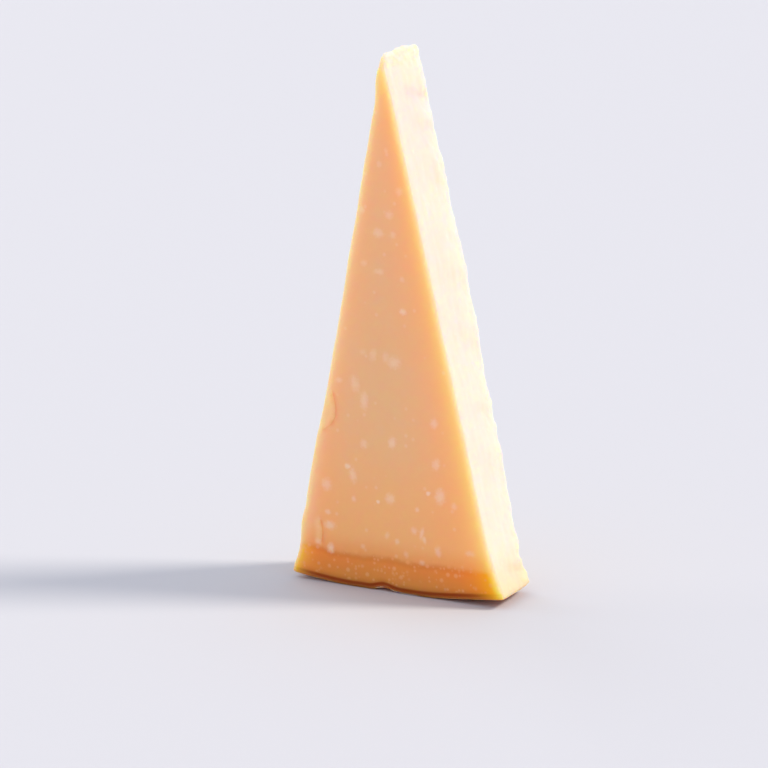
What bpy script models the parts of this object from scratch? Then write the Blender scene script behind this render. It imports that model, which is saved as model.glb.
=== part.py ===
# A wedge of hard grainy cheese, cut from a wheel and stood on its rind with the tip up.
# The smooth sector face looks along -Y, the two long cuts face +X and -X, and the rind lies below.

import math

import bmesh
import bpy
from mathutils import Matrix, Vector, noise

MM = 0.001

# The sector of the wheel that the wedge was cut to
RADIUS = 208 * MM  # from the point where the two long cuts would meet, out to the rind
SECTOR_ANGLE = math.radians(24.5)
LEAN = math.radians(1.55)  # the tip stands a little to the left of the rind's middle
THICKNESS = 26.8 * MM
TIP_CUT = 0.1 * MM  # missing from the tip
TIP_WIDTH = 1.7 * MM
EDGE_RADIUS = 0.9 * MM

# The rind
FLATTENED = 0.9  # share of a true circle's rise that the rind has
FLAT_SPOT = 0.8 * MM  # worn off its lowest part, which the wedge stands on
CROWN = 0.4 * MM  # how much it bulges across the thickness

# The right cut flares out next to the rind, most of all at its front corner
FOOT_HEIGHT = 30 * MM
FRONT_FLARE = 4.2 * MM
BACK_FLARE = 3.6 * MM
FOOT_DROP = 1.2 * MM
BACK_BOW = 1.0 * MM  # its back edge bows out in the upper half and in above the foot

# Uneven surfaces: how far they stand out, the length of their longest waves, octaves and a seed
SMOOTH_FACE = {"height": 0.2 * MM, "length": 40 * MM, "octaves": 1, "seed": 1.3}
BACK_FACE = {"height": 0.6 * MM, "length": 18 * MM, "octaves": 2, "seed": 5.9}
RIGHT_CUT = {"height": 0.7 * MM, "length": 15 * MM, "octaves": 2, "seed": 3.1}
LEFT_CUT = {"height": 0.7 * MM, "length": 15 * MM, "octaves": 2, "seed": 8.7}
RIND = {"height": 0.2 * MM, "length": 16 * MM, "octaves": 1, "seed": 2.2}
TIP = {"height": 0.35 * MM, "length": 5 * MM, "octaves": 2, "seed": 6.4}
WAVE_STRETCH = 0.55  # waves on the long faces are drawn out along the height
ROUGHNESS_FALL = 0.8  # share of the back edge's unevenness that the long cuts lose towards the front
LACUNARITY = 2.1
PERSISTENCE = 0.8

# Ledges where the cheese broke along the back edges of the long cuts: the heights of their lips
RIGHT_LEDGES = [height * MM for height in (212, 189.5, 179, 160, 124, 99, 72, 53, 12, -2)]
LEFT_LEDGES = [height * MM for height in (212, 186, 163, 141, 110, 88, 60, 31, -2)]
LEDGE_STEP = 1.3 * MM
LEDGE_DROP = 0.22  # share of each ledge's length that steps back in
LEDGE_SLANT = 0.25  # rise of the lips for each unit towards the front
LEDGE_WANDER = 3 * MM
WANDER_LENGTH = 14 * MM

# Bites missing from the long edges. Each is a height, the sides of the edge that it sits on (X and Y),
# how deep it goes and the radius of the ball that scoops it out.
BITES = (
    (31 * MM, -1, -1, 0.2 * MM, 6 * MM),
    (139 * MM, -1, -1, 0.7 * MM, 4 * MM),
    (83 * MM, 1, 1, 1.3 * MM, 10 * MM),
    (29 * MM, 1, 1, 2.1 * MM, 12 * MM),
    (17 * MM, 1, 1, 2.7 * MM, 11 * MM),
    (122 * MM, -1, 1, 2.6 * MM, 9 * MM),
    (37 * MM, -1, 1, 2.2 * MM, 8 * MM),
    (172 * MM, -1, 1, 1.6 * MM, 7 * MM),
)

# Swellings of the front left edge: a height, how far it stands out and the reach of its slope
LUMPS = (
    (197 * MM, 1.0 * MM, 8 * MM),
    (50 * MM, 1.1 * MM, 26 * MM),
    (36 * MM, 0.35 * MM, 8 * MM),
    (24 * MM, 1.1 * MM, 11 * MM),
    (2 * MM, 1.7 * MM, 11 * MM),
)
LUMP_TURN = 0.4  # how far they lean to the front for each unit to the left

# The broken top of the tip: a step halfway through the thickness, from which it falls both ways
CREST_FROM = 196 * MM
CREST_STEP = 0.75 * MM
CREST_FALL = 0.08

# A chip off the tip's front left corner: its lowest height, and how fast it rises to the right and back
CHIP_HEIGHT = 203.7 * MM  # straight above the point where the long cuts would meet
CHIP_RISE_RIGHT = 0.95
CHIP_RISE_BACK = 2.4

# The pinch in the rind under the front face
PINCH_X = 0.6 * MM
PINCH_HEIGHT = 2.8 * MM
PINCH_HALF_WIDTH = 4.2 * MM
PINCH_REACH = 9 * MM
PINCH_TOP = 14 * MM
PINCH_SHARPNESS = 1.6

# Segments across the width, the thickness and the height, and how much they crowd to the edges
SEGMENTS = (24, 10, 74)
CROWDING = (0.35, 0.5, 0.45)
SHORTEST_EDGE = 0.3 * MM

CHEESE_COLOUR = (0.80, 0.53, 0.27, 1.0)
CHEESE_ROUGHNESS = 0.45
SHARP_ANGLE = math.radians(40)


def smooth_step(value, low, high):
    share = min(1.0, max(0.0, (value - low) / (high - low)))
    return share * share * (3 - 2 * share)


def crowd(share, amount):
    # Draws grid lines towards both ends, where the edges are rounded.
    return share + amount * math.sin(math.pi * share) / math.pi


def half_width(reach):
    # Half of the wedge's width at a distance from the point where the long cuts would meet.
    straight = reach * math.sin(SECTOR_ANGLE / 2)
    return (straight + math.hypot(straight, TIP_WIDTH)) / 2


def place(side, depth, reach):
    # Turns a distance from the middle line, a depth and a reach into a place on the leaning sector.
    arc_rise = FLATTENED * side**2 / (2 * (reach + TIP_WIDTH))
    point = Matrix.Rotation(-LEAN, 3, "Y") @ Vector((side, depth, arc_rise - reach))
    return point + Vector((0.0, 0.0, RADIUS - FLAT_SPOT))


def edge_place(height, side, depth):
    # The place at a height on one of the four long edges.
    reach = (RADIUS - FLAT_SPOT - height) / math.cos(SECTOR_ANGLE / 2 + side * LEAN)
    return place(side * half_width(reach), depth * THICKNESS / 2, reach)


def waves(point, height, length, octaves, seed):
    start = Vector((seed, 0.0, 0.0))
    return height * noise.fractal(point / length + start, PERSISTENCE, LACUNARITY, octaves)


def ledge_depth(height, ledges):
    # Going down, the face leans out slowly to each lip and steps back in just below it.
    for upper, lower in zip(ledges, ledges[1:]):
        if lower < height <= upper:
            share = (upper - height) / (upper - lower)
            if share < LEDGE_DROP:
                return LEDGE_STEP * (share / LEDGE_DROP - 0.5)
            return LEDGE_STEP * ((1 - share) / (1 - LEDGE_DROP) - 0.5)
    return 0.0


def relief(point, out):
    # How far the surface stands out at a point whose outward direction is given.
    stretched = Vector((point.x, point.y, point.z * WAVE_STRETCH))
    backness = smooth_step(point.y / THICKNESS, -0.45, 0.45)
    surface, ledges = (RIGHT_CUT, RIGHT_LEDGES) if out.x > 0 else (LEFT_CUT, LEFT_LEDGES)
    wander = LEDGE_WANDER * noise.noise(point / WANDER_LENGTH)
    slant = LEDGE_SLANT * (point.y - THICKNESS / 2)
    cut = waves(stretched, **surface) * (1 - ROUGHNESS_FALL * (1 - backness))
    cut -= ledge_depth(point.z + slant + wander, ledges) * backness
    face = waves(stretched, **(SMOOTH_FACE if out.y < 0 else BACK_FACE))
    end = waves(point, **(RIND if out.z < 0 else TIP))
    return cut * out.x**2 + face * out.y**2 + end * out.z**2


def bend_right_cut(point, side_share, front_share):
    foot = max(0.0, 1 - point.z / FOOT_HEIGHT)
    right = max(0.0, side_share) ** 2
    front = FRONT_FLARE * foot**2
    back = BACK_FLARE * foot**4 - BACK_BOW * math.cos(1.5 * math.pi * point.z / RADIUS)
    point.x += right * (front * front_share + back * (1 - front_share))
    point.z -= right**2 * FOOT_DROP * foot**2


def swell(point):
    outwards = Vector((-1.0, -LUMP_TURN, 0.0)).normalized()
    for height, how_far, slope in LUMPS:
        away = (point - edge_place(height, -1, -1)).length / slope
        point += outwards * how_far * math.exp(-2 * away**2)


def bite(point):
    for height, side, depth, how_deep, radius in BITES:
        outwards = Vector((side, depth, 0.0)).normalized()
        centre = edge_place(height, side, depth) + outwards * (radius - how_deep)
        away = point - centre
        if away.length < radius:
            point.xyz = centre + away.normalized() * radius


def break_tip(point):
    top = RADIUS - FLAT_SPOT - TIP_CUT
    step = CREST_STEP * smooth_step(point.y, -1.5 * MM, 1.0 * MM)
    point.z += smooth_step(point.z, CREST_FROM, top) * (step - CREST_FALL * abs(point.y))
    chip = CHIP_HEIGHT + CHIP_RISE_RIGHT * point.x + CHIP_RISE_BACK * (point.y + THICKNESS / 2)
    point.z = min(point.z, chip)


def pinch(point):
    # Lifts the rind's front edge to a sharp peak with soft sides.
    beside = abs(point.x - PINCH_X) / PINCH_HALF_WIDTH
    depth = 1 - smooth_step(point.y + THICKNESS / 2, 0.0, PINCH_REACH)
    low = 1 - smooth_step(point.z, 0.0, PINCH_TOP)
    point.z += PINCH_HEIGHT * math.exp(-PINCH_SHARPNESS * beside) * depth * low


def rounded_block(share):
    # The point of a block with rounded edges at a share of its half sizes, and the outward direction.
    reach = TIP_CUT + (RADIUS - TIP_CUT) * (1 - share[2]) / 2
    half = half_width(reach)
    straight = max(half - EDGE_RADIUS, half / 4)
    grid = Vector((half * share[0], THICKNESS / 2 * share[1], -reach))
    inner_half = THICKNESS / 2 - EDGE_RADIUS
    inner = Vector(
        (
            min(max(grid.x, -straight), straight),
            min(max(grid.y, -inner_half), inner_half),
            min(max(grid.z, EDGE_RADIUS - RADIUS), -TIP_CUT - EDGE_RADIUS),
        )
    )
    out = (grid - inner).normalized()
    return inner + out * min(EDGE_RADIUS, half - straight), out


def wedge_point(corner):
    # Takes a point of the cube from -1 to 1 to its place on the cheese.
    share = [crowd(corner[axis], CROWDING[axis]) for axis in range(3)]
    block, out = rounded_block(share)
    bulge = CROWN * (1 - share[1] ** 2) * max(0.0, -out.z)
    point = place(block.x, block.y, bulge - block.z)
    bend_right_cut(point, share[0], (1 - share[1]) / 2)
    point += out * relief(point, out)
    swell(point)
    bite(point)
    break_tip(point)
    pinch(point)
    point.z = max(point.z, 0.0)
    return point


def cube_grid():
    # A cube from -1 to 1 whose six faces are cut into a grid.
    mesh = bmesh.new()
    bmesh.ops.create_cube(mesh, size=2.0)
    for axis, segments in enumerate(SEGMENTS):
        along = [
            edge
            for edge in mesh.edges
            if abs(edge.verts[0].co[axis] - edge.verts[1].co[axis]) > 1e-6
        ]
        bmesh.ops.subdivide_edges(mesh, edges=along, cuts=segments - 1, use_grid_fill=True)
    return mesh


def centre_on_origin(mesh):
    # The origin goes to the middle of the box round the cheese, at the height of its foot.
    xs = [vert.co.x for vert in mesh.verts]
    ys = [vert.co.y for vert in mesh.verts]
    shift = Vector((-(min(xs) + max(xs)) / 2, -(min(ys) + max(ys)) / 2, 0.0))
    bmesh.ops.translate(mesh, verts=mesh.verts, vec=shift)


def cheese_material():
    material = bpy.data.materials.new("cheese_paste")
    material.use_nodes = True
    shader = material.node_tree.nodes["Principled BSDF"]
    shader.inputs["Base Color"].default_value = CHEESE_COLOUR
    shader.inputs["Roughness"].default_value = CHEESE_ROUGHNESS
    shader.inputs["Metallic"].default_value = 0.0
    return material


def make_wedge():
    grid = cube_grid()
    for vert in grid.verts:
        vert.co = wedge_point(vert.co)
    bmesh.ops.remove_doubles(grid, verts=grid.verts, dist=SHORTEST_EDGE)
    centre_on_origin(grid)
    bmesh.ops.triangulate(grid, faces=grid.faces)
    bmesh.ops.recalc_face_normals(grid, faces=grid.faces)
    mesh = bpy.data.meshes.new("cheese_wedge")
    grid.to_mesh(mesh)
    grid.free()
    mesh.shade_smooth()
    mesh.set_sharp_from_angle(angle=SHARP_ANGLE)
    mesh.materials.append(cheese_material())
    wedge = bpy.data.objects.new("cheese_wedge", mesh)
    bpy.context.scene.collection.objects.link(wedge)


def main():
    for old in list(bpy.data.objects):
        bpy.data.objects.remove(old)
    make_wedge()


main()
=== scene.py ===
import math
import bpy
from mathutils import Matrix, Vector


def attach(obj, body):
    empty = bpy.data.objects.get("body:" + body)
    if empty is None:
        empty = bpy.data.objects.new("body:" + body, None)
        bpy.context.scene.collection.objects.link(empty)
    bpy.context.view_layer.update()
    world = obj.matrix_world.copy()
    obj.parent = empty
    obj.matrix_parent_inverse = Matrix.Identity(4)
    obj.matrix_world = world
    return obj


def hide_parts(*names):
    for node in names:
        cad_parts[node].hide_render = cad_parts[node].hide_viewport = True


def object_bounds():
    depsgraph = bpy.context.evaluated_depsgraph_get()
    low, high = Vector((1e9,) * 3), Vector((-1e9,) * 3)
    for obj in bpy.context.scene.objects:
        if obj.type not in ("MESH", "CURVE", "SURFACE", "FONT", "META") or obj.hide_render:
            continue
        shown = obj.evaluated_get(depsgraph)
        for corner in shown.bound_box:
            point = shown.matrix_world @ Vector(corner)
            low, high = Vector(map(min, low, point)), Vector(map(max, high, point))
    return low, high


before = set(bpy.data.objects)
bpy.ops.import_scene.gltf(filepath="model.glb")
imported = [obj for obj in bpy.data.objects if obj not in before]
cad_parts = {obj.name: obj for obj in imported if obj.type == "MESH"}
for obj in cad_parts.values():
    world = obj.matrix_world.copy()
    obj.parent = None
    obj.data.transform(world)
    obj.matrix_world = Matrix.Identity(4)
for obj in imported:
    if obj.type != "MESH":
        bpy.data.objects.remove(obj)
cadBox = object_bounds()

from types import SimpleNamespace

import bmesh
import bpy
import numpy as np
from mathutils import Vector, noise
from mathutils.bvhtree import BVHTree

# A wedge of hard grainy cheese, stood on its rind. Sizes are in millimetres unless a line says otherwise.
# Its smooth face looks along -Y, and the two long cuts look along +X, on the right, and -X, on the left.
mm = 0.001
print("frame loaded")


# Camera

camera = {
    "azimuth": 29.0,  # degrees, from looking along +Y
    "elevation": 13.0,
    "distance": 1214.5,
    "target": (-10.08, -5.00, 79.2),
    "lens": 150.0,
    "sensor": 36.0,
    "nearest": 50.0,
    "farthest": 20000.0,
}


def makeCamera():
    turn, lift = math.radians(camera["azimuth"]), math.radians(camera["elevation"])
    back = Vector((math.sin(turn) * math.cos(lift), -math.cos(turn) * math.cos(lift), math.sin(lift)))
    data = bpy.data.cameras.new("camera")
    data.lens = camera["lens"]
    data.sensor_width = camera["sensor"]
    data.clip_start = camera["nearest"] * mm
    data.clip_end = camera["farthest"] * mm
    view = bpy.data.objects.new("camera", data)
    view.location = (Vector(camera["target"]) + back * camera["distance"]) * mm
    view.rotation_euler = back.to_track_quat("Z", "Y").to_euler()
    bpy.context.scene.collection.objects.link(view)
    bpy.context.scene.camera = view


makeCamera()
print("camera placed")


# Shader helpers

class Signal:
    # One output of a shader node, on which Python's own operators add Math nodes
    def __init__(self, net, socket):
        self.net = net
        self.socket = socket

    def maths(self, operation, other):
        return self.net.node("ShaderNodeMath", {"operation": operation}, {0: self, 1: other})["Value"]

    def __add__(self, other):
        return self.maths("ADD", other)

    def __sub__(self, other):
        return self.maths("SUBTRACT", other)

    def __mul__(self, other):
        return self.maths("MULTIPLY", other)

    def __rsub__(self, other):
        return self.maths("MULTIPLY", -1.0) + other

    __radd__ = __add__
    __rmul__ = __mul__

    def atMost(self, other):
        return self.maths("MINIMUM", other)

    def atLeast(self, other):
        return self.maths("MAXIMUM", other)

    def ramp(self, low, high):  # smoothly from 0 at low to 1 at high, either way round
        inputs = {"Value": self, "From Min": low, "From Max": high, "To Min": 0.0, "To Max": 1.0}
        return self.net.node("ShaderNodeMapRange", {"interpolation_type": "SMOOTHSTEP"}, inputs)["Result"]

    def window(self, rise, fall):  # 1 between two ramps, and 0 beyond both
        return self.ramp(*rise) * self.ramp(*fall)


class Finish:
    # A material and its one Principled shader
    def __init__(self, name):
        self.material = bpy.data.materials.new(name)
        self.material.use_nodes = True
        self.tree = self.material.node_tree
        self.shader = self.tree.nodes["Principled BSDF"]

    def feed(self, socket, value):
        if isinstance(value, Signal):
            self.tree.links.new(value.socket, socket)
        elif socket.type == "RGBA":
            socket.default_value = (*value, 1.0)
        else:
            socket.default_value = value

    def node(self, kind, settings, inputs):
        made = self.tree.nodes.new(kind)
        for name, value in settings.items():
            setattr(made, name, value)
        for key, value in inputs.items():
            if isinstance(key, int):  # a Math node's sockets share one name
                self.feed(made.inputs[key], value)
            else:
                self.feed(next(s for s in made.inputs if s.name == key and s.enabled), value)
        return {s.name: Signal(self, s) for s in made.outputs if s.enabled}

    def mix(self, share, first, second):
        inputs = {"Factor": share, "A": first, "B": second}
        return self.node("ShaderNodeMix", {"data_type": "RGBA"}, inputs)["Result"]

    def attribute(self, name):
        return self.node("ShaderNodeAttribute", {"attribute_name": name}, {})["Fac"]

    def place(self, scale=(1.0, 1.0, 1.0)):  # Object coordinates in millimetres, stretched by the scale
        where = self.node("ShaderNodeTexCoord", {}, {})["Object"]
        size = tuple(s / mm for s in scale)
        return self.node("ShaderNodeMapping", {}, {"Vector": where, "Scale": size})["Vector"]

    def along(self, axis):  # one of the Object coordinates in millimetres
        return self.node("ShaderNodeSeparateXYZ", {}, {"Vector": self.place()})[axis]

    def cloud(self, place, size, detail, rough):  # soft noise from 0 to 1, size in the place's units
        inputs = {"Vector": place, "Scale": 1.0 / size, "Detail": detail, "Roughness": rough}
        return self.node("ShaderNodeTexNoise", {}, inputs)["Fac"]

    def give(self, values):  # to the shader's own sockets
        for name, value in values.items():
            self.feed(self.shader.inputs[name], value)

    def bump(self, height, distance, strength):
        inputs = {"Height": height, "Distance": distance * mm, "Strength": strength}
        self.give({"Normal": self.node("ShaderNodeBump", {}, inputs)["Normal"]})


# The wedge

wedge = {
    "merge": 0.02,
    "joinFlat": 40.0,  # degrees
    "joinShape": 60.0,
    "levels": 2,
    "fineRounds": 2,  # of local subdivision round the crystals and creases
    "fineMargin": 0.5,
    "fineCrease": 1.3,  # half the width of the finer band along a crease
    "frontDepth": -12.0,  # the front face lies before this along Y
    "frontNormal": 0.8,  # crystals and creases are only where the normal faces front by more than this
    "squareOn": (0.3, 0.8),  # the part of a normal along an axis at which relief starts, and is full
    "smoothNormal": (0.5, 0.9),  # the same for the marks of the smooth face, the skin and the bright cut
    "skinNormal": (0.35, 0.75),
    "brightNormal": (0.1, 0.6),
}

# Crystals on the front face: x, z, width, height and how white
crystals = (
    (-4.6, 170.0, 1.3, 1.9, 0.3), (-7.6, 164.9, 1.7, 1.9, 0.4), (0.9, 155.1, 2.2, 2.3, 0.4),
    (-14.9, 147.0, 1.7, 1.9, 0.5), (-3.4, 146.1, 2.4, 2.2, 0.5), (-8.0, 138.9, 3.2, 2.6, 0.6),
    (-1.7, 138.7, 2.0, 1.8, 0.4), (-14.1, 127.0, 2.1, 1.8, 0.4), (-7.6, 124.2, 3.2, 1.7, 0.5),
    (2.2, 122.1, 1.6, 1.5, 0.4), (2.6, 109.9, 2.0, 1.8, 0.9), (-14.5, 92.8, 2.5, 1.8, 0.3),
    (-10.2, 92.1, 2.3, 3.4, 0.4), (-4.6, 91.6, 2.4, 2.7, 0.4), (-1.2, 90.0, 4.0, 3.4, 0.6),
    (-25.0, 80.8, 2.1, 1.8, 0.5), (-18.0, 80.0, 2.7, 4.4, 0.5), (-14.1, 73.9, 2.4, 5.0, 0.6),
    (15.9, 68.5, 2.4, 2.6, 0.6), (-14.2, 57.1, 2.4, 2.5, 0.5), (-2.0, 59.0, 2.4, 3.2, 0.7),
    (-21.2, 47.6, 2.1, 1.5, 0.9), (-19.0, 44.3, 2.2, 4.2, 0.6), (16.8, 52.8, 2.4, 3.2, 0.6),
    (-30.5, 39.3, 3.0, 3.4, 0.6), (18.6, 40.6, 3.0, 4.3, 0.7), (-2.9, 37.0, 3.0, 3.0, 0.6),
    (13.5, 41.1, 1.3, 1.3, 1.0), (-8.1, 35.1, 1.1, 1.1, 0.9), (-18.6, 34.9, 1.5, 1.8, 0.5),
    (8.8, 34.2, 1.4, 1.4, 0.6), (24.5, 37.5, 2.0, 2.2, 0.4), (-30.1, 28.3, 2.0, 1.5, 0.6),
    (-29.2, 23.2, 3.5, 2.5, 0.7), (-28.8, 14.1, 2.2, 2.9, 0.9), (-34.6, 16.1, 2.0, 1.8, 0.4),
    (-4.2, 22.3, 1.5, 2.2, 0.4), (0.2, 20.5, 1.6, 1.8, 0.5), (7.5, 25.8, 2.0, 2.2, 0.5),
    (10.9, 25.1, 1.3, 3.6, 0.6), (11.8, 22.9, 1.3, 2.5, 0.6), (-14.7, 16.5, 1.6, 1.5, 0.4),
    (4.1, 15.9, 1.5, 2.2, 0.4), (17.8, 19.0, 2.0, 3.3, 0.5), (31.4, 20.1, 3.0, 1.8, 0.4),
    (11.0, 13.7, 2.0, 1.5, 0.5),
)
crystalShape = {
    "spread": 1.5,
    "lean": 0.35,  # how far the tall ones slant, in radians at most
    "leanTurn": 2.4,  # from one crystal's slant to the next one's, in radians
    "ragged": 0.5,  # share of the radius by which noise moves the rim
    "raggedSize": 1.2,
    "away": 2.2,  # the rim's measure where there is no crystal: 0 in its middle, 1 at its radius
    "height": 0.04,  # how far the middle stands out
    "soft": 0.1,  # where the rim starts to fade, as a share of the radius
    "end": 1.4,
    "window": 2.0,  # it is looked for up to this many times its size away
}

# The top of the darker zone by the rind, on the front face, as x and height, and how far its edge wanders
zoneTop = ((-60.0, 14.6), (-38.0, 14.2), (-33.0, 13.6), (-29.5, 12.3), (-16.3, 12.5), (-3.2, 13.1),
           (6.8, 12.4), (18.4, 12.9), (27.8, 13.0), (35.0, 13.4), (60.0, 14.5))
zoneWander = 1.6

# The rind is looked for straight below a point drawn in a little, so that one on the outline still finds it
rindSearch = {"drawnX": 0.985, "drawnY": 0.96, "from": -20.0}

# Painted glow: light that comes through the long cuts, painted into the front face's colour: how strong it is
# on the front face and how far it reaches
glow = {
    "right": 1.0, "rightReach": 4.0,
    "left": 0.46, "leftReach": 2.6,
    "fall": 1.5,  # the power of the distance by which it fades
    "outer": 2.3,  # how many times further the orange outer part reaches
    "rightFoot": 1.6,  # how many times further the right one reaches at the foot
    "rightFootBand": (160.0, 0.0),
    "leftFoot": 1.8,
    "leftFootBand": (70.0, 10.0),
    "tip": 0.55,  # how many times further both reach at the tip
    "tipBand": (120.0, 205.0),
    "rim": 1.3,  # how far the palest line at the right edge reaches
    "cutNormal": 0.5,  # the cuts are where the normal faces a side by more than this
    "frontNormal": 0.2,
    "none": 1000.0,  # the distance used off the front face
    "leftInZone": 0.6,  # how much stronger the left one is in the zone by the rind
    "leftRim": 0.1,  # how much weaker than its strongest the left one's own rim starts
}

# Creases in the front face by its left edge, as places along them (x, z)
creases = {
    "lines": (((-27.7, 74.3), (-26.8, 70.1), (-26.8, 66.2), (-28.6, 63.2), (-31.3, 61.2)),
              ((-33.2, 23.4), (-32.7, 20.2), (-32.9, 17.2))),
    "depth": 0.28,
    "width": 1.1,
    "lift": 0.3,  # the flake left of a crease stands out by this much
    "reach": 4.0,
    "flakeFrom": 0.5,
    "creaseShade": 1.2,  # half the width of the painted shade along it
    "creaseShadeShare": 0.7,
    "creaseShadePatches": 0.8,  # how much noise adds to the painted shade or takes from it
    "patchSize": 2.5,
}

relief = {
    "front": 0.07, "frontSize": 9.0,
    "streak": 0.20, "streakSize": (2.6, 2.6, 15.0),
    "streakSeeds": (4.0, 7.0),  # for the left cut and the right one
    "crumble": 0.42, "crumbleSize": 4.5, "crumbleNoise": (0.7, 2.2, 3),  # falloff, step in size and octaves
    "crumbleSides": (0.35, 0.55),  # the share of it by the back edges of the left cut and the right one
    "crumbleDepth": (-8.0, 13.0),
    "crumb": 0.5, "crumbSize": 4.0, "crumbLevel": 0.3,
    "crumbSides": (0.3, 0.0),
    "grain": 0.07, "grainSize": 1.5, "grainSides": 0.6,
    "rind": 0.06, "rindSize": 5.0,
    "tip": 0.75, "tipSize": 2.4, "tipBand": (196.0, 206.0),
    "tipChip": (198.5, 203.0),  # above this the front face is broken too
}


def smoothStep(value, low, high):  # 0 at low and 1 at high, either way round
    share = min(1.0, max(0.0, (value - low) / (high - low)))
    return share * share * (3.0 - 2.0 * share)


def freshCopy():
    # A merged copy of the CAD node with its triangles paired into quads, rounded by subdivision
    mesh = bmesh.new()
    mesh.from_mesh(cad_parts["cheese_wedge"].data)
    bmesh.ops.remove_doubles(mesh, verts=mesh.verts, dist=wedge["merge"] * mm)
    bmesh.ops.join_triangles(
        mesh, faces=mesh.faces,
        angle_face_threshold=math.radians(wedge["joinFlat"]),
        angle_shape_threshold=math.radians(wedge["joinShape"]),
    )
    data = bpy.data.meshes.new("wedgeCage")
    mesh.to_mesh(data)
    mesh.free()
    cage = bpy.data.objects.new("wedgeCage", data)
    bpy.context.scene.collection.objects.link(cage)
    rounding = cage.modifiers.new("Rounding", "SUBSURF")
    rounding.levels = rounding.render_levels = wedge["levels"]
    ready = cage.evaluated_get(bpy.context.evaluated_depsgraph_get())
    fine = bmesh.new()
    fine.from_mesh(ready.data)
    bpy.data.objects.remove(cage)
    bmesh.ops.triangulate(fine, faces=fine.faces)
    bmesh.ops.scale(fine, verts=fine.verts, vec=(1 / mm,) * 3)  # worked on in millimetres
    print("wedge cage of %d faces, %d after rounding" % (len(data.polygons), len(fine.faces)))
    return fine


def alongLine(line, x, z):
    # The distance to a line of places, and on which side of it the point is
    best = (1e9, 0.0)
    for (ax, az), (bx, bz) in zip(line, line[1:]):
        dx, dz = bx - ax, bz - az
        share = min(1.0, max(0.0, ((x - ax) * dx + (z - az) * dz) / (dx * dx + dz * dz)))
        away = math.hypot(x - ax - dx * share, z - az - dz * share)
        side = (x - ax) * dz - (z - az) * dx  # above 0 left of a line that runs down
        if away < best[0]:
            best = (away, side)
    return best


def nearDetail(x, z):
    margin = wedge["fineMargin"]
    byCrystal = any(abs(x - cx) < w / 2 + margin and abs(z - cz) < h / 2 + margin
                    for cx, cz, w, h, white in crystals)
    return byCrystal or any(alongLine(line, x, z)[0] < wedge["fineCrease"] for line in creases["lines"])


def refineDetails(mesh):
    # Cuts the front face finer where the crystals and the creases are
    for _ in range(wedge["fineRounds"]):
        chosen = []
        for edge in mesh.edges:
            middle = (edge.verts[0].co + edge.verts[1].co) / 2
            if middle.y <= wedge["frontDepth"] and nearDetail(middle.x, middle.z):
                chosen.append(edge)
        bmesh.ops.subdivide_edges(mesh, edges=chosen, cuts=1)
        bmesh.ops.triangulate(mesh, faces=mesh.faces)
    print("details cut in, %d faces" % len(mesh.faces))


def crystalAt(point):
    # How far out from the middle of the nearest crystal a point of the front face is, and how white it is
    best = (crystalShape["away"], 0.0)
    for index, (x, z, w, h, white) in enumerate(crystals):
        if abs(point.x - x) > crystalShape["window"] * w or abs(point.z - z) > crystalShape["window"] * h:
            continue
        slant = crystalShape["lean"] * math.sin(index * crystalShape["leanTurn"]) * (h > w)
        dx = (point.x - x) * math.cos(slant) + (point.z - z) * math.sin(slant)
        dz = (point.z - z) * math.cos(slant) - (point.x - x) * math.sin(slant)
        rim = math.hypot(dx / (w / 2), dz / (h / 2)) / crystalShape["spread"]
        best = min(best, (rim, white))
    return best


def stretchedNoise(point, size, seed):
    return noise.noise(Vector((point.x / size[0] + seed, point.y / size[1], point.z / size[2])))


def standOut(point, normal):
    # How far the surface's relief stands out at a point
    front = smoothStep(-normal.y, *wedge["squareOn"])
    back = smoothStep(normal.y, *wedge["squareOn"])
    side = smoothStep(abs(normal.x), *wedge["squareOn"])
    under = smoothStep(-normal.z, *wedge["squareOn"])
    tip = smoothStep(point.z, *relief["tipBand"])
    which = 1 if normal.x > 0 else 0  # the right cut's values, or the left one's
    height = front * relief["front"] * noise.noise(point / relief["frontSize"])
    streaks = stretchedNoise(point, relief["streakSize"], relief["streakSeeds"][which])
    height += side * relief["streak"] * streaks
    height += under * relief["rind"] * noise.noise(point / relief["rindSize"])
    rough = back + relief["crumbleSides"][which] * side * smoothStep(point.y, *relief["crumbleDepth"])
    crumble = noise.fractal(point / relief["crumbleSize"], *relief["crumbleNoise"])
    height += rough * relief["crumble"] * crumble
    near = noise.voronoi(point / relief["crumbSize"])[0]
    crumbs = near[1] - near[0] - relief["crumbLevel"]
    height += (back + relief["crumbSides"][which] * side) * relief["crumb"] * crumbs
    grain = noise.noise(point / relief["grainSize"])
    height += (back + relief["grainSides"] * side) * relief["grain"] * grain
    height += tip * relief["tip"] * noise.noise(point / relief["tipSize"])
    return height


def foldCreases(point):
    # Presses the creases in, and gives how much of their painted shade and of the flake there is at the point
    creaseShade, onFlake = 0.0, 0.0
    for line in creases["lines"]:
        away, side = alongLine(line, point.x, point.z)
        if away < creases["reach"]:
            groove = creases["depth"] * math.exp(-((away / creases["width"]) ** 2))
            flake = creases["lift"] * (side > 0) * (1.0 - smoothStep(away, 0.0, creases["reach"]))
            point.y += groove - flake
            creaseShade = max(creaseShade, math.exp(-((away / creases["creaseShade"]) ** 2)))
            shown = 1.0 - smoothStep(away, creases["flakeFrom"], creases["reach"])
            onFlake = max(onFlake, (side > 0) * shown)
    patches = creases["creaseShadeShare"] + creases["creaseShadePatches"] * noise.noise(point / creases["patchSize"])
    return creaseShade * patches, onFlake


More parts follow.
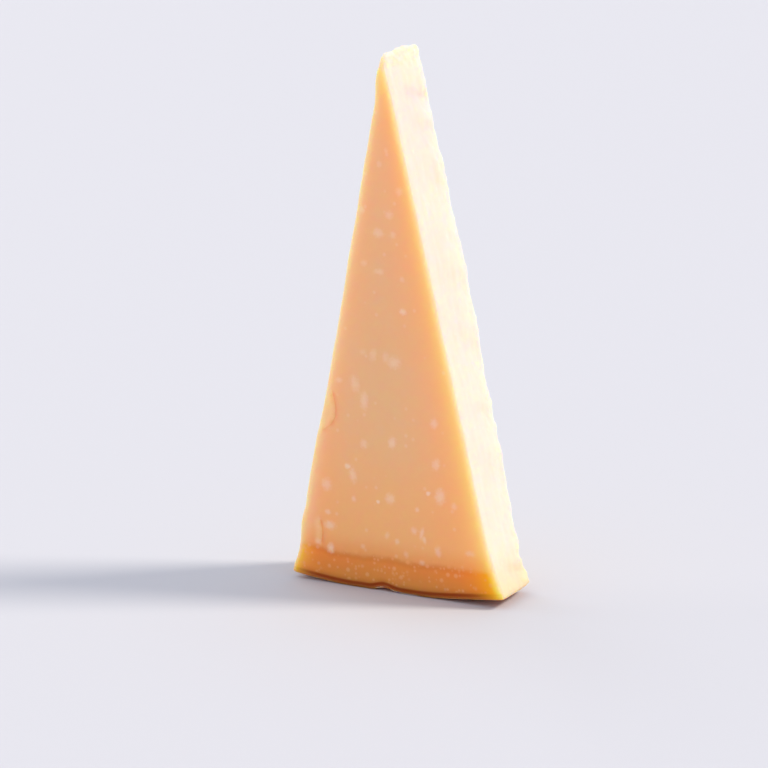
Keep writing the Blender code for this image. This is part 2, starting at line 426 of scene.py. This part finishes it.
def shapeSurface(mesh):
    # Moves the surface out by its relief and its crystals, and gives each vertex's marks for the material
    marks = []
    for vert in mesh.verts:
        point, normal = vert.co.copy(), vert.normal.copy()
        onFront = -normal.y > wedge["frontNormal"]
        rim, white = crystalAt(point) if onFront else (crystalShape["away"], 0.0)
        hill = white * (1.0 - smoothStep(rim, crystalShape["soft"], crystalShape["end"]))
        point += normal * (standOut(point, normal) + crystalShape["height"] * hill)
        creaseShade, onFlake = foldCreases(point) if onFront else (0.0, 0.0)
        unbroken = 1.0 - smoothStep(vert.co.z, *relief["tipChip"])
        bright = smoothStep(normal.x, *wedge["brightNormal"])
        marks.append({
            "crystalRim": rim,
            "crystalWhite": white,
            "crease": creaseShade,
            "flake": onFlake,
            "smoothCut": smoothStep(-normal.y, *wedge["smoothNormal"]) * unbroken,
            # brightCut: the faces towards the key light, pale partly from their own break and partly from
            # painted light
            "brightCut": max(bright, smoothStep(normal.z, *wedge["squareOn"])),
            "rindSkin": smoothStep(-normal.z, *wedge["skinNormal"]),
        })
        vert.co = point
    low, high = (corner / mm for corner in cadBox)
    for vert in mesh.verts:  # the relief stays inside the CAD box
        vert.co = Vector(min(max(vert.co[i], low[i]), high[i]) for i in range(3))
    return marks


def rindMarks(mesh):
    # For each vertex, how far straight above the rind it is, and how far above the top of the darker zone
    tree = BVHTree.FromBMesh(mesh)
    places, tops = zip(*zoneTop)
    marks = []
    for vert in mesh.verts:
        x, y, z = vert.co
        start = Vector((x * rindSearch["drawnX"], y * rindSearch["drawnY"], rindSearch["from"]))
        rind = tree.ray_cast(start, Vector((0, 0, 1)))[0]
        marks.append({
            "rindDepth": max(0.0, z - rind.z) if rind else 0.0,
            "zoneHeight": z - float(np.interp(x, places, tops)),
        })
    return marks


def cutSurface(mesh, turn):
    # The right cut, for a turn of 1, or the left one, for a turn of -1, ready for distances to it
    faces = [[vert.co.copy() for vert in face.verts] for face in mesh.faces
             if all(vert.normal.x * turn > glow["cutNormal"] for vert in face.verts)]
    corners = [corner for face in faces for corner in face]
    return BVHTree.FromPolygons(corners, [(i, i + 1, i + 2) for i in range(0, len(corners), 3)])


def fade(away, reach):
    return math.exp(-((away / reach) ** glow["fall"]))


def glowMarks(mesh):
    # For each vertex, the painted glow on the front face by the right cut, by the left one, further in and at
    # the rim
    cuts = {"right": cutSurface(mesh, 1.0), "left": cutSurface(mesh, -1.0)}
    marks = []
    for vert in mesh.verts:
        tip = 1.0 + (glow["tip"] - 1.0) * smoothStep(vert.co.z, *glow["tipBand"])
        onFront = -vert.normal.y > glow["frontNormal"]
        inner, outer, away = {}, {}, {}
        for name, tree in cuts.items():
            foot = 1.0 + (glow[name + "Foot"] - 1.0) * smoothStep(vert.co.z, *glow[name + "FootBand"])
            reach = glow[name + "Reach"] * foot * tip
            away[name] = tree.find_nearest(vert.co)[3] if onFront else glow["none"]
            inner[name] = glow[name] * fade(away[name], reach)
            outer[name] = glow[name] * fade(away[name], reach * glow["outer"])
        marks.append({
            "edgeGlow": inner["right"],
            "leftGlow": inner["left"],
            "sideGlow": max(outer.values()),
            "rimGlow": fade(away["right"], glow["rim"]),
        })
    return marks


# Colours of the cheese, from the paste to the rind, with painted light and shade among them
paste = {
    "plain": (0.85, 0.56, 0.29),
    "warm": (0.87, 0.54, 0.27),
    "dull": (0.82, 0.57, 0.33),
    "low": (0.92, 0.51, 0.19),
    # broken and brokenBack: the pale of the lit right cut, partly its own paler break, partly painted light
    "broken": (0.74, 0.675, 0.605),
    "brokenBack": (0.74, 0.585, 0.665),
    # brokenTip and topTip: painted shade that darkens the tip, where the light is strongest
    "brokenTip": (0.74, 0.635, 0.60),
    "topTip": (0.74, 0.56, 0.57),
    "brokenLow": (0.80, 0.57, 0.32),
    "straw": (0.84, 0.64, 0.35),
    "strawLow": (0.86, 0.57, 0.26),
    "strawPale": (0.92, 0.78, 0.52),
    # rim, edge, edgeLow, edgeLowRim, leftEdge, leftEdgeLow, leftRimLow, side, sideLow and zoneSide are
    # painted glow: light from the long cuts painted onto the front face
    "rim": (1.0, 0.69, 0.52),
    "edge": (1.0, 0.72, 0.24),
    "edgeLow": (1.0, 0.56, 0.0),
    "edgeLowRim": (1.0, 0.69, 0.01),
    "leftEdge": (1.0, 0.71, 0.60),
    "leftEdgeLow": (1.0, 0.67, 0.10),
    "leftRimLow": (1.0, 0.58, 0.45),
    "side": (1.0, 0.50, 0.20),
    "sideLow": (1.0, 0.46, 0.16),
    "zone": (0.86, 0.31, 0.068),
    "zoneSide": (1.0, 0.24, 0.015),
    "line": (0.62, 0.17, 0.02),
    "brown": (0.34, 0.04, 0.0),
    # crease: painted shade in the creases
    "crease": (0.82, 0.38, 0.09),
    # flake: painted highlight on the flakes beside the creases
    "flake": (1.0, 0.75, 0.44),
    "skin": (0.84, 0.29, 0.07),
    "skinDeep": (0.72, 0.22, 0.05),
    # lip: painted highlight on the lips of the dent
    "lip": (1.0, 0.78, 0.56),
    "crystal": (0.97, 0.83, 0.70),
    "speck": (0.96, 0.48, 0.20),
}

# Where each of them starts and where it is full, by height above the rind
heights = {
    "low": (75.0, 12.0),
    "brokenTip": (150.0, 195.0),
    "topTip": (200.0, 206.0),
    "brokenLow": (22.0, 0.0),
    "strawTip": (180.0, 204.0),
    "strawLow": (60.0, 0.0),
    "brownWide": (4.6, 1.7),
    "brownSharp": (2.8, 1.8),
    "skin": (1.5, 0.9),
    "specks": (2.2, 3.4),
}

# The same by height above the top of the zone by the rind
zoneHeights = {
    "wide": (9.0, -2.0),
    "sharp": (1.0, -1.0),
    "line": ((1.8, 0.0), (-2.4, -0.4)),  # from above and from below
    "specks": (5.0, -1.0),
}

# The same by depth along Y, from the front
depths = {
    "brokenBack": (8.5, 13.5),
    "lip": (-9.0, -11.0),
}

# The pale lip under the dent, a painted highlight on the lips of the dent: its two lengths along X, and the
# part of the skin that it takes
lip = {
    "left": ((-10.0, -8.5), (-5.5, -6.5)),
    "right": ((-3.0, -1.5), (11.0, 7.0)),
    "skin": ((0.0, 0.3), (1.0, 0.7)),
}

# Soft noise: size, detail and roughness
clouds = {
    "patches": (20.0, 3.0, 0.5),
    "mottle": (6.0, 4.0, 0.6),
    "streaks": (4.0, 3.0, 0.5),
    "crumbs": (2.0, 4.0, 0.65),
    "zoneEdge": (3.0, 3.0, 0.5),
    "skinTint": (3.0, 3.0, 0.5),
    "ragged": (crystalShape["raggedSize"], 2.0, 0.5),
    "grain": (0.9, 3.0, 0.6),
}

# The noise's values between which a pattern shows
contrasts = {
    "patches": (0.35, 0.65),
    "mottle": (0.45, 0.75),
    "streaks": (0.4, 0.7),
    "crumbs": (0.35, 0.7),
}

# Round dots: the size of the cells that hold one each, their radius, and the share of cells that have one
dots = {
    "faint": {"cell": 4.2, "radius": 1.1, "share": 0.35},
    "small": {"cell": 1.6, "radius": 0.8, "share": 0.3},
    "big": {"cell": 2.9, "radius": 1.25, "share": 0.5},
}

# How much of each colour goes over those before it
shares = {
    "warm": 0.6,
    "dull": 0.35,
    "low": 0.8,
    "brokenLow": 0.6,
    "strawLow": 0.7,
    "strawTip": 0.8,
    "strawPale": 0.3,
    "broken": 0.85, "streaks": 0.08,
    "zoneWide": 0.6, "zoneSharp": 0.4,
    "zoneOnBroken": 0.6, "brownOnBroken": 0.7,
    "brownWide": 0.35, "brownSharp": 0.62,
    "line": 0.28,
    "side": 0.8,
    "flake": 0.45,
    "crease": 0.38,
    "lip": 0.8,
    "crystal": 0.62, "faint": 0.16,
    "small": 0.5, "big": 0.6,
}

# How much one thing takes from another where both are
taken = {
    "edgeGlowFromBrown": 0.8,
    "brownFromEdgeGlow": 0.2,
    "brownFromRim": 0.4,
    "brightFromZone": 0.54,
    "brightFromBrown": 0.6,
    "frontFromSkin": 0.65,
    "brightFromSkin": 0.8,
    "edgeGlowFromSkin": 0.6,
    "edgeGlowFromSpecks": 0.7,
}

finishSettings = {
    "roughness": 0.42,
    "grainRoughness": 0.2,
    "bumpDepth": 0.05,
    "bumpStrength": 0.5,
    "specular": 0.15,
    "subsurface": 1.0,
    "radius": (1.35, 0.60, 0.10),  # how far red, green and blue light goes in, as shares of the scale
    "scale": 15.0,
    "streakStretch": (1.0, 1.0, 0.3),
    "dotCore": 0.3,  # share of a dot's radius that is full
    "dotStep": 0.02,
    "edgeRim": (0.5, 0.9),  # the right glow's values between which its low part turns to its rim
}


def makeDots(finish, where, cell, radius, share):
    # Small round dots, one in each Voronoi cell of the chosen share of the cells
    cells = finish.node("ShaderNodeTexVoronoi", {}, {"Vector": where, "Scale": 1.0 / cell})
    chance = finish.node("ShaderNodeSeparateColor", {}, {"Color": cells["Color"]})["Red"]
    disc = (cells["Distance"] * cell).ramp(radius, radius * finishSettings["dotCore"])
    return disc * chance.ramp(1 - share, 1 - share + finishSettings["dotStep"])


def readMarks(finish):
    # The mesh's marks as signals, with the zone by the rind and the brown line that follow from them
    names = ("rindDepth", "zoneHeight", "crystalRim", "crystalWhite", "smoothCut", "brightCut", "rindSkin",
             "edgeGlow", "leftGlow", "sideGlow", "rimGlow", "crease", "flake")
    at = SimpleNamespace(**{name: finish.attribute(name) for name in names})
    at.where, at.across, at.through = finish.place(), finish.along("X"), finish.along("Y")
    wander = finish.cloud(at.where, *clouds["zoneEdge"]) * zoneWander - zoneWander / 2
    at.edge = at.zoneHeight + wander
    at.zone = at.edge.ramp(*zoneHeights["wide"]) * shares["zoneWide"]
    at.zone = at.zone + at.edge.ramp(*zoneHeights["sharp"]) * shares["zoneSharp"]
    at.brown = at.rindDepth.ramp(*heights["brownWide"]) * shares["brownWide"]
    at.brown = at.brown + at.rindDepth.ramp(*heights["brownSharp"]) * shares["brownSharp"]
    return at


def smoothPaste(finish, at):
    # The paste of the front face, deeper in soft patches and towards the rind
    patches = finish.cloud(at.where, *clouds["patches"]).ramp(*contrasts["patches"])
    mottle = finish.cloud(at.where, *clouds["mottle"]).ramp(*contrasts["mottle"])
    colour = finish.mix(patches * shares["warm"], paste["plain"], paste["warm"])
    colour = finish.mix(mottle * shares["dull"], colour, paste["dull"])
    return finish.mix(at.rindDepth.ramp(*heights["low"]) * shares["low"], colour, paste["low"])


def brokenPaste(finish, at, colour):
    # The broken faces: the right cut and the top, which face the key light, pale, partly a paler fresh break
    # and partly painted light of the lit faces; the others the colour of straw
    # painted shade towards the tip
    pale = finish.mix(at.rindDepth.ramp(*heights["brokenTip"]), paste["broken"], paste["brokenTip"])
    pale = finish.mix(at.through.ramp(*depths["brokenBack"]), pale, paste["brokenBack"])
    pale = finish.mix(at.rindDepth.ramp(*heights["topTip"]), pale, paste["topTip"])
    paleLow = at.rindDepth.ramp(*heights["brokenLow"]) * shares["brokenLow"]
    pale = finish.mix(paleLow, pale, paste["brokenLow"])
    strawLow = at.rindDepth.ramp(*heights["strawLow"]) * shares["strawLow"]
    straw = finish.mix(strawLow, paste["straw"], paste["strawLow"])
    # the straw faces take the same painted shade at the tip
    straw = finish.mix(at.rindDepth.ramp(*heights["strawTip"]) * shares["strawTip"], straw, paste["topTip"])
    crumbs = finish.cloud(at.where, *clouds["crumbs"]).ramp(*contrasts["crumbs"])
    straw = finish.mix(crumbs * shares["strawPale"], straw, paste["strawPale"])
    stretched = finish.place(finishSettings["streakStretch"])
    streaks = finish.cloud(stretched, *clouds["streaks"]).ramp(*contrasts["streaks"])
    share = shares["broken"] - streaks * shares["streaks"]
    broken = finish.mix(share, colour, finish.mix(at.brightCut, straw, pale))
    zone = at.zone * (shares["zoneOnBroken"] - at.brightCut * taken["brightFromZone"])
    broken = finish.mix(zone, broken, paste["zone"])
    brown = at.brown * (shares["brownOnBroken"] - at.brightCut * taken["brightFromBrown"])
    return finish.mix(brown, broken, paste["brown"])


def rindZone(finish, at, colour):
    # On the front face, the zone by the rind with a darker line at its top, the painted glow by the cuts over
    # it, and the brown line below it
    colour = finish.mix(at.zone, colour, paste["zone"])
    colour = finish.mix(at.edge.window(*zoneHeights["line"]) * shares["line"], colour, paste["line"])
    side = finish.mix(at.rindDepth.ramp(*heights["low"]), paste["side"], paste["sideLow"])
    colour = finish.mix(at.sideGlow * shares["side"], colour, finish.mix(at.zone, side, paste["zoneSide"]))
    return finish.mix(at.brown * (1 - at.edgeGlow * taken["edgeGlowFromBrown"]), colour, paste["brown"])


def cutLight(finish, at, colour):
    # Painted light that comes through by the long cuts, the painted shade of the creases and the painted
    # highlight of their flakes
    left = (at.leftGlow * (1 + at.zone * glow["leftInZone"])).atMost(1.0)
    rim = at.leftGlow.ramp(glow["left"] - glow["leftRim"], glow["left"])
    leftLow = finish.mix(rim, paste["leftEdgeLow"], paste["leftRimLow"])
    colour = finish.mix(left, colour, finish.mix(at.zone, paste["leftEdge"], leftLow))
    edgeRim = at.edgeGlow.ramp(*finishSettings["edgeRim"])
    edgeLow = finish.mix(edgeRim, paste["edgeLow"], paste["edgeLowRim"])
    edge = finish.mix(at.zone, paste["edge"], edgeLow)
    colour = finish.mix(at.edgeGlow * (1 - at.brown * taken["brownFromEdgeGlow"]), colour, edge)
    colour = finish.mix(at.rimGlow * (1 - at.brown * taken["brownFromRim"]), colour, paste["rim"])
    # the flakes' painted highlight
    colour = finish.mix(at.flake * shares["flake"], colour, paste["flake"])
    # the creases' painted shade
    return finish.mix(at.crease * shares["crease"], colour, paste["crease"])


def rindShell(at):
    # How much of the rind's skin covers the paste
    cover = 1 - at.smoothCut * taken["frontFromSkin"] - at.brightCut * taken["brightFromSkin"]
    shell = (at.rindDepth.ramp(*heights["skin"]) * cover).atLeast(at.rindSkin)
    return shell * (1 - at.edgeGlow * taken["edgeGlowFromSkin"])


def rindSkin(finish, at, shell, colour):
    tint = finish.mix(finish.cloud(at.where, *clouds["skinTint"]), paste["skin"], paste["skinDeep"])
    colour = finish.mix(shell, colour, tint)
    # painted highlight on the lips of the dent
    lipHighlight = at.rindSkin.window(*lip["skin"]) * at.through.ramp(*depths["lip"])
    lipHighlight = lipHighlight * (at.across.window(*lip["right"]) + at.across.window(*lip["left"]))
    return finish.mix(lipHighlight * shares["lip"], colour, paste["lip"])


def crystalsAndSpecks(finish, at, shell, colour):
    # Crystals, the faint ones inside the paste, and the fine specks by the rind
    faint = makeDots(finish, at.where, **dots["faint"])
    ragged = (finish.cloud(at.where, *clouds["ragged"]) - 0.5) * (2 * crystalShape["ragged"])
    crystal = (at.crystalRim + ragged).ramp(crystalShape["end"], crystalShape["soft"]) * at.crystalWhite
    white = (crystal * shares["crystal"]).atLeast(faint * shares["faint"]) * (1 - shell)
    colour = finish.mix(white, colour, paste["crystal"])
    small = makeDots(finish, at.where, **dots["small"])
    big = makeDots(finish, at.where, **dots["big"])
    specks = (small * shares["small"]).atLeast(big * shares["big"]) * at.edge.ramp(*zoneHeights["specks"])
    specks = specks * at.rindDepth.ramp(*heights["specks"]) * at.smoothCut
    specks = specks * (1 - at.edgeGlow * taken["edgeGlowFromSpecks"])
    return finish.mix(specks, colour, paste["speck"])


def makeCheeseFinish():
    finish = Finish("cheesePaste")
    at = readMarks(finish)
    colour = smoothPaste(finish, at)
    broken = brokenPaste(finish, at, colour)
    front = cutLight(finish, at, rindZone(finish, at, colour))
    colour = finish.mix(at.smoothCut, broken, front)
    shell = rindShell(at)
    colour = rindSkin(finish, at, shell, colour)
    colour = crystalsAndSpecks(finish, at, shell, colour)
    grain = finish.cloud(at.where, *clouds["grain"])
    finish.bump(grain, finishSettings["bumpDepth"], finishSettings["bumpStrength"])
    finish.give({
        "Base Color": colour,
        "Roughness": finishSettings["roughness"] + finishSettings["grainRoughness"] * grain,
        "Specular IOR Level": finishSettings["specular"],
        "Subsurface Weight": finishSettings["subsurface"],
        "Subsurface Radius": finishSettings["radius"],
        "Subsurface Scale": finishSettings["scale"] * mm,
    })
    return finish.material


def makeWedge():
    mesh = freshCopy()
    refineDetails(mesh)
    mesh.normal_update()
    glows = glowMarks(mesh)
    surface = shapeSurface(mesh)
    rind = rindMarks(mesh)
    bmesh.ops.scale(mesh, verts=mesh.verts, vec=(mm,) * 3)
    data = bpy.data.meshes.new("wedge")
    mesh.to_mesh(data)
    mesh.free()
    for marks in (glows, surface, rind):
        for name in marks[0]:
            values = [mark[name] for mark in marks]
            data.attributes.new(name, "FLOAT", "POINT").data.foreach_set("value", values)
    data.shade_smooth()
    data.materials.clear()
    data.materials.append(makeCheeseFinish())
    piece = bpy.data.objects.new("wedge", data)
    bpy.context.scene.collection.objects.link(piece)
    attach(piece, "root")
    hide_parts("cheese_wedge")
    print("wedge of %d triangles" % len(data.polygons))


makeWedge()
print("wedge made")


# Floor and light

studio = {
    "floorColour": (0.530, 0.545, 0.590),
    "floorRoughness": 0.8,
    "floorSize": 60000.0,
    "world": (0.90, 0.91, 1.0),
    "worldStrength": 0.86,
}

# The lamps: degrees from +X towards +Y, degrees up, degrees across, strength and colour
lamps = {
    "keyLight": {"turn": 29.0, "lift": 42.0, "angle": 14.0, "strength": 2.7, "colour": (1.0, 0.90, 0.78)},
    "rimLight": {"turn": 170.0, "lift": 30.0, "angle": 60.0, "strength": 0.9, "colour": (1.0, 1.0, 1.0)},
}


def makeFloor():
    mesh = bmesh.new()
    bmesh.ops.create_grid(mesh, x_segments=1, y_segments=1, size=studio["floorSize"] / 2 * mm)
    data = bpy.data.meshes.new("floor")
    mesh.to_mesh(data)
    mesh.free()
    finish = Finish("paleFloor")
    finish.give({"Base Color": studio["floorColour"], "Roughness": studio["floorRoughness"]})
    data.materials.append(finish.material)
    floor = bpy.data.objects.new("floor", data)
    bpy.context.scene.collection.objects.link(floor)


def makeLight(name, turn, lift, angle, strength, colour):
    data = bpy.data.lights.new(name, "SUN")
    data.color = colour
    data.angle = math.radians(angle)
    data.energy = strength
    lamp = bpy.data.objects.new(name, data)
    turn, lift = math.radians(turn), math.radians(lift)
    away = Vector((math.cos(turn) * math.cos(lift), math.sin(turn) * math.cos(lift), math.sin(lift)))
    lamp.location = away
    lamp.rotation_euler = away.to_track_quat("Z", "Y").to_euler()
    bpy.context.scene.collection.objects.link(lamp)


def makeWorld():
    world = bpy.data.worlds.new("studio")
    world.use_nodes = True
    background = world.node_tree.nodes["Background"]
    background.inputs["Color"].default_value = (*studio["world"], 1.0)
    background.inputs["Strength"].default_value = studio["worldStrength"]
    bpy.context.scene.world = world
    bpy.context.scene.view_settings.view_transform = "Standard"
    bpy.context.scene.view_settings.look = "None"


makeFloor()
for lampName, lampSettings in lamps.items():
    makeLight(lampName, **lampSettings)
makeWorld()
print("floor and light made")
